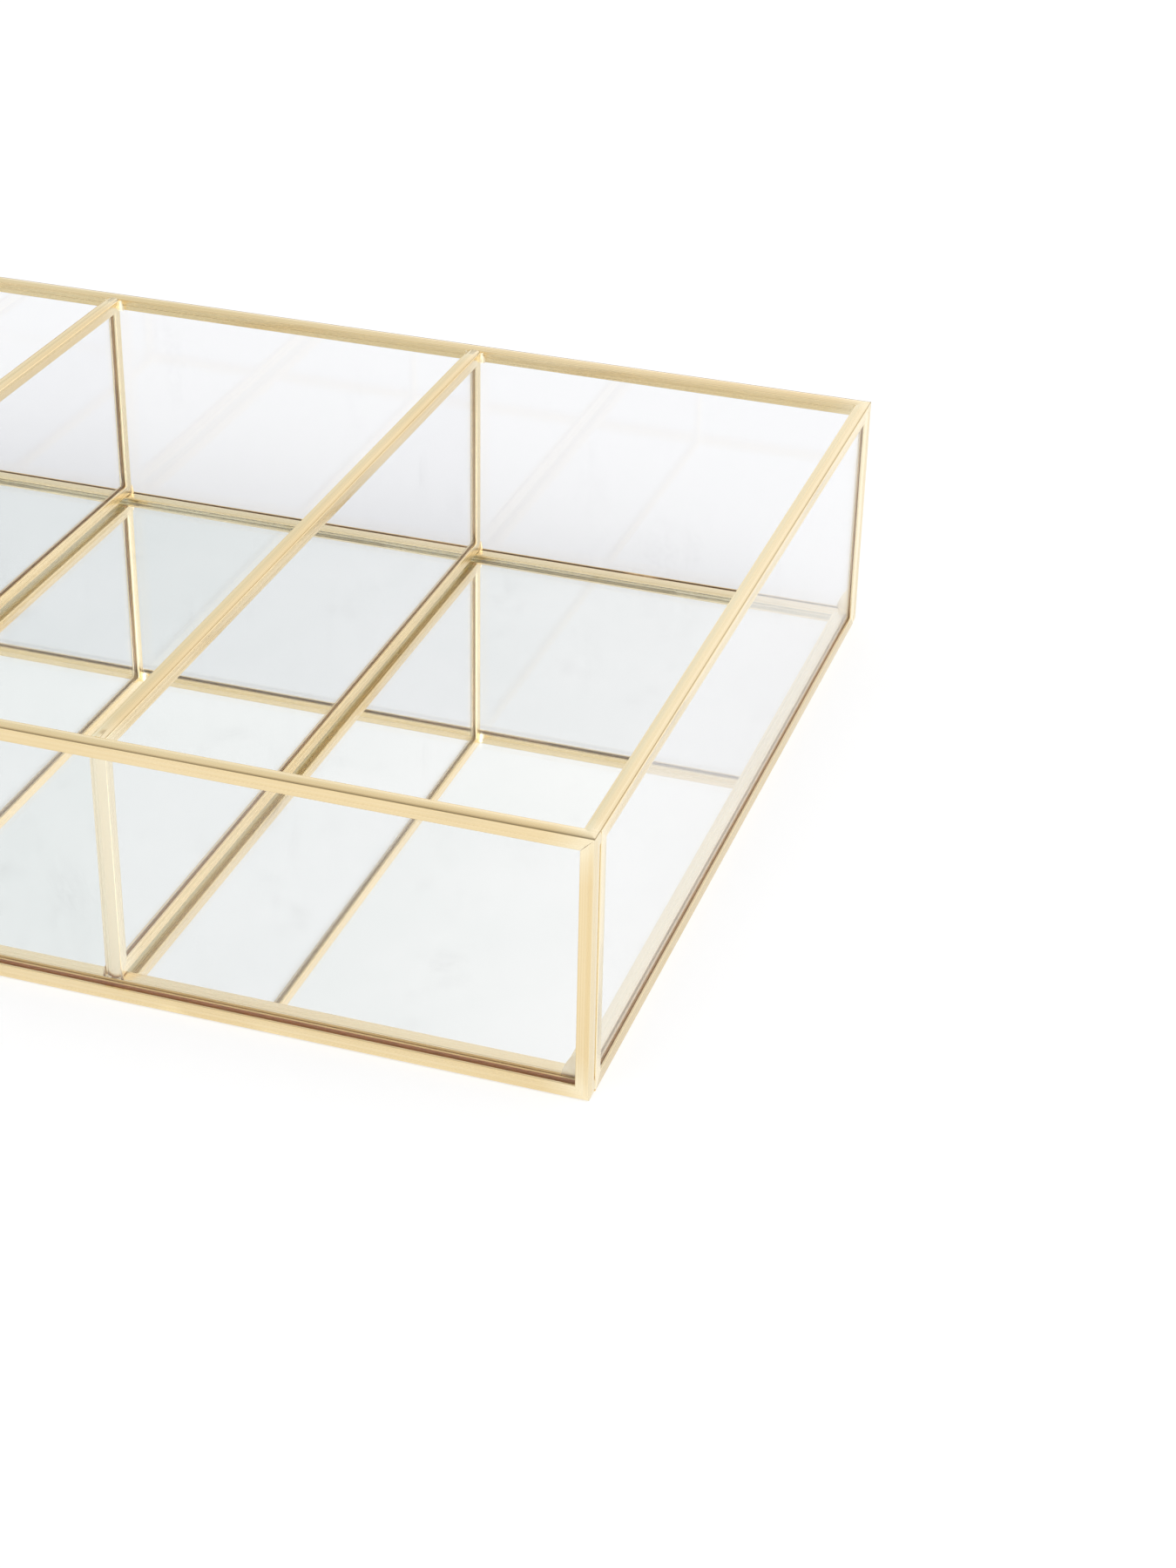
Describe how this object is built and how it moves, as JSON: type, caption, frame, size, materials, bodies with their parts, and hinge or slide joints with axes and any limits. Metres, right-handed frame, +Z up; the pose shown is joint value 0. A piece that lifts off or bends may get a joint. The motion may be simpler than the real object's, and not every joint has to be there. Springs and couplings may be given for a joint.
{
  "type": "dresser vanity tray",
  "caption": "Open rectangular vanity tray of clear glass panes edged in folded brass channel, with straight dividers over a mirror floor.",
  "frame": {"origin": "centre of the footprint, on the plane the tray rests on", "axes": "+X along the tray, +Y from the front wall to the rear wall, +Z up"},
  "size_m": [0.256, 0.183, 0.05],
  "materials": {
    "brass": "light gold brass strip, drawn lengthwise and softly polished, darker in the bends",
    "solder": "plated solder, slightly paler and rougher than the strip",
    "clear_glass": "clear two millimetre sheet glass with a faint green edge and light smudges",
    "mirror_glass": "clear glass of the mirror, faint green edge",
    "mirror_silver": "silver film under the glass",
    "back_paint": "matt grey protective paint on the back of the mirror"
  },
  "bodies": {
    "root": {"base_corner_solder": "solder", "base_front_rail": "brass", "base_left_rail": "brass", "base_rear_rail": "brass", "base_right_rail": "brass", "divider_foot_solder": "solder", "divider_top_solder": "solder", "front_bottom_rail": "brass", "front_glass": "clear_glass", "front_left_post": "brass", "front_right_post": "brass", "front_top_rail": "brass", "left_bottom_rail": "brass", "left_divider_bottom_rail": "brass", "left_divider_front_post": "brass", "left_divider_glass": "clear_glass", "left_divider_rear_post": "brass", "left_divider_top_rail": "brass", "left_front_post": "brass", "left_glass": "clear_glass", "left_rear_post": "brass", "left_top_rail": "brass", "mirror_back_paint": "back_paint", "mirror_glass": "mirror_glass", "mirror_silver": "mirror_silver", "rear_bottom_rail": "brass", "rear_glass": "clear_glass", "rear_left_post": "brass", "rear_right_post": "brass", "rear_top_rail": "brass", "right_bottom_rail": "brass", "right_divider_bottom_rail": "brass", "right_divider_front_post": "brass", "right_divider_glass": "clear_glass", "right_divider_rear_post": "brass", "right_divider_top_rail": "brass", "right_front_post": "brass", "right_glass": "clear_glass", "right_rear_post": "brass", "right_top_rail": "brass", "top_corner_solder": "solder"}
  },
  "joints": []
}
